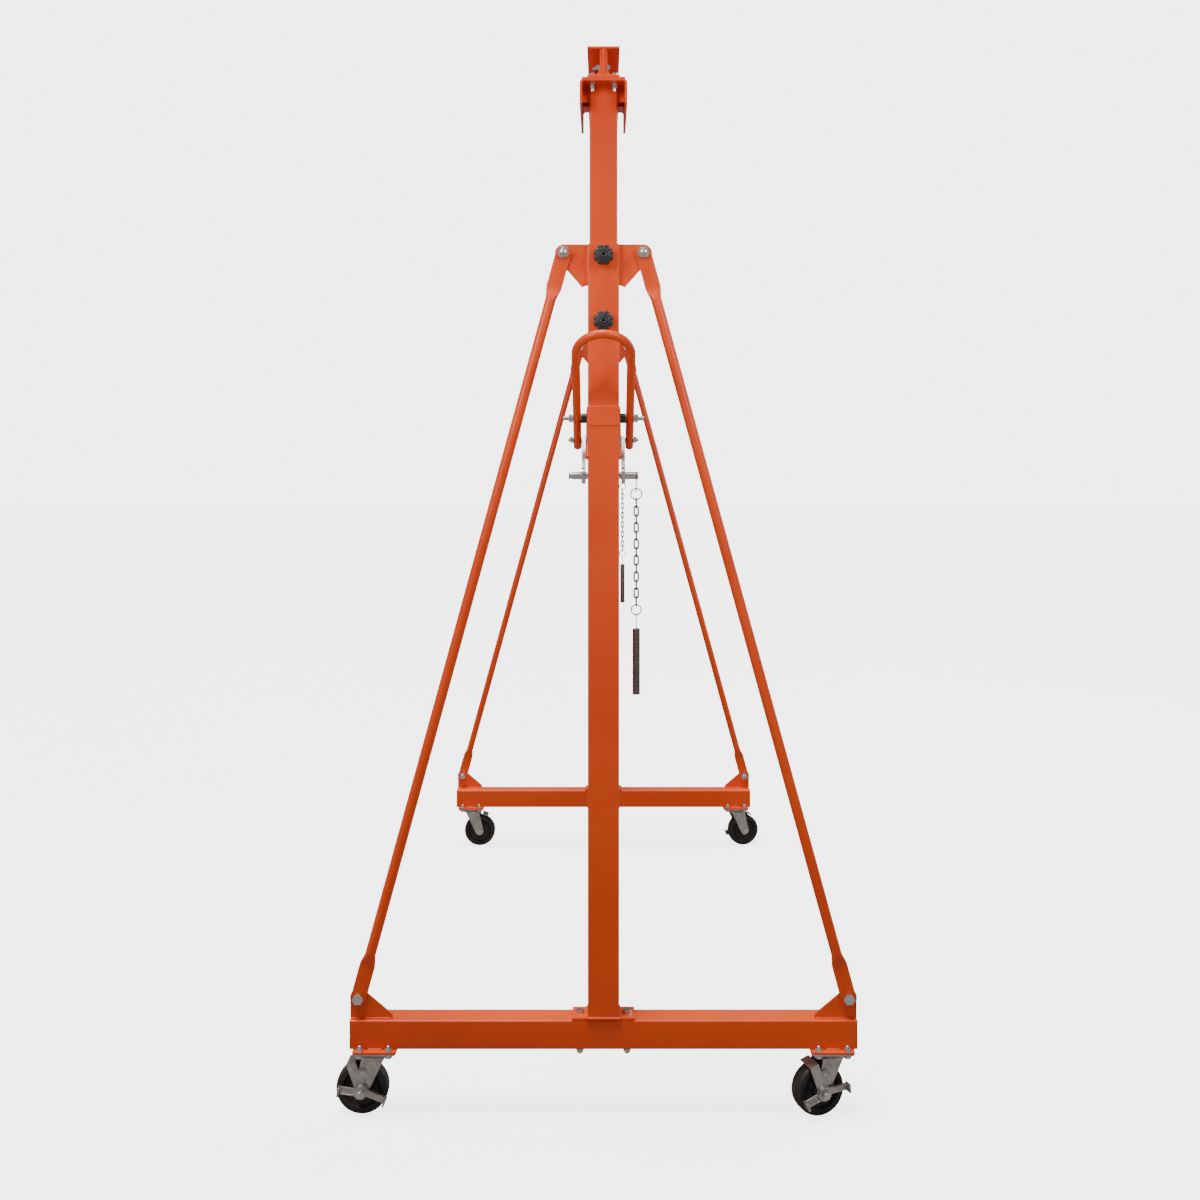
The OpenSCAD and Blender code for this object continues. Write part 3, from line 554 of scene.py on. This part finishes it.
def pedal_ribs(tilt):
    """Four grip ribs across the lip at the end of each pedal arm."""
    ribs = []
    for turn, reach in PEDAL_ARMS:
        a = math.radians(tilt + turn)
        out, over = Vector((math.cos(a), 0, math.sin(a))), Vector((-math.sin(a), 0, math.cos(a)))
        for k in range(4):
            base = Vector(HUB) + out * (reach - RIB_START + RIB_PITCH * k)
            loop = [base + over * q + Vector((0, y, 0)) for q, y in RIB_SECTION]
            ribs.append(rings([loop, [p + out * RIB_WIDTH for p in loop]]))
    return join(ribs)


for c in CASTERS:
    at = caster_place(c)
    upright = Matrix.Translation(at.translation)
    fork, roller, pedal = f"{c}_caster", f"{c}_roller", f"{c}_brake_pedal"
    tyre = lathe(WHEEL, HUB, BACK, 112, caps=False)
    build(f"{c}_tyre", tyre, at, RUBBER, roller, stands_for=[f"{c}_wheel"])
    faces = [lathe(HUB_FACE, (HUB[0], HUB_FACE_Y * s, HUB[2]), (0, s, 0), 40) for s in (1, -1)]
    build(f"{c}_hub_faces", join(faces), at, ZINC, roller)
    race = lathe(RACE_RING, (0, 0, 0), UP, 64)
    build(f"{c}_race_ring", race, upright, PRESSED, f"{c.split('_')[0]}_frame")
    crown = lathe(CROWN_RING, (0, 0, 0), UP, 64)
    build(f"{c}_crown_ring", crown, at, PRESSED, fork)
    axle_end = thread((HUB[0], AXLE_END_Y, HUB[2]), BACK, 12, 2.6, 1.3)
    build(f"{c}_axle_end", axle_end, at, ZINC, fork)
    tilt = PEDAL_TILT_NEAR_RIGHT if c == "near_right" else PEDAL_TILT
    build(f"{c}_pedal_ribs", pedal_ribs(tilt), at, PRESSED, pedal, bevel=0.5)

# ---- floor, light and camera, in metres ----

# The floor and the room look nearly white to the camera, but throw less light on the crane.
FLOOR_LIT, FLOOR_GLOW = (0.22, 0.215, 0.21), 3.3
ROOM_LIT, ROOM_SEEN = 0.2, 4.5
WHITE = (1, 1, 1, 1)


def stage_plane():
    me = bpy.data.meshes.new("floor")
    corners = [(-40, -40, 0), (40, -40, 0), (40, 60, 0), (-40, 60, 0)]
    me.from_pydata(corners, [], [(0, 1, 2, 3)])
    m, nt, b, co = new_material("floor", 0.0, 0.75)
    pale = ramp(nt, noise(nt, co, 0.6, 3), (0.3, (0.72, 0.72, 0.72)), (0.7, (0.76, 0.76, 0.76)))
    seen = nt.nodes.new("ShaderNodeLightPath").outputs["Is Camera Ray"]
    nt.links.new(mix(nt, seen, FLOOR_LIT, pale), b.inputs["Base Color"])
    b.inputs["Emission Color"].default_value = WHITE
    nt.links.new(spread(nt, seen, 0, 1, 0, FLOOR_GLOW), b.inputs["Emission Strength"])
    me.materials.append(m)
    o = bpy.data.objects.new("floor", me)
    bpy.context.scene.collection.objects.link(o)


def place_light(name, data, facing, where=(0, 0, 0)):
    o = bpy.data.objects.new(name, data)
    o.location = where
    o.rotation_euler = facing.to_track_quat("-Z", "Y").to_euler()
    bpy.context.scene.collection.objects.link(o)


def area_light(name, where, target, size, power):
    d = bpy.data.lights.new(name, "AREA")
    d.shape = "SQUARE"
    d.size = size
    d.energy = power
    place_light(name, d, Vector(target) - Vector(where), where)


def spot_light(name, where, target, radius, cone, power):
    d = bpy.data.lights.new(name, "SPOT")
    d.shadow_soft_size = radius
    d.spot_size = math.radians(cone)
    d.spot_blend = 1.0
    d.energy = power
    place_light(name, d, Vector(target) - Vector(where), where)


def sun_light(name, facing, angle, power):
    d = bpy.data.lights.new(name, "SUN")
    d.angle = math.radians(angle)
    d.energy = power
    place_light(name, d, Vector(facing))


def studio_world():
    world = bpy.data.worlds.new("studio")
    bpy.context.scene.world = world
    world.use_nodes = True
    wn = world.node_tree
    lit = wn.nodes["Background"]
    seen = wn.nodes.new("ShaderNodeBackground")
    for background, strength in ((lit, ROOM_LIT), (seen, ROOM_SEEN)):
        background.inputs[0].default_value = WHITE
        background.inputs[1].default_value = strength
    path = wn.nodes.new("ShaderNodeLightPath")
    pick = wn.nodes.new("ShaderNodeMixShader")
    wn.links.new(path.outputs["Is Camera Ray"], pick.inputs[0])
    wn.links.new(lit.outputs[0], pick.inputs[1])
    wn.links.new(seen.outputs[0], pick.inputs[2])
    wn.links.new(pick.outputs[0], wn.nodes["World Output"].inputs[0])


def front_camera():
    """Level, at the height of the vanishing point, in front of the near frame."""
    cam = bpy.data.cameras.new("camera")
    cam.sensor_width = 36
    cam.lens = 39.3
    cam.shift_x = -0.0029
    cam.shift_y = -0.104
    o = bpy.data.objects.new("camera", cam)
    o.location = (0, -4.355, 1.553)
    o.rotation_euler = (math.radians(90), 0, 0)
    bpy.context.scene.collection.objects.link(o)
    bpy.context.scene.camera = o


MAST_HEAD = (0, -1.1, 2.4)  # where both spots point
stage_plane()
spot_light("left_spot", (-2.2, -3.9, 3.0), MAST_HEAD, 0.9, 64, 360)
spot_light("right_spot", (2.2, -3.9, 3.0), MAST_HEAD, 0.9, 64, 290)
area_light("side", (4.5, 1.5, 3.2), (0, 0, 1.4), 2.5, 110)
sun_light("sky_panel", (0.16, 0.10, -1.0), 28, 4.4)
studio_world()
front_camera()
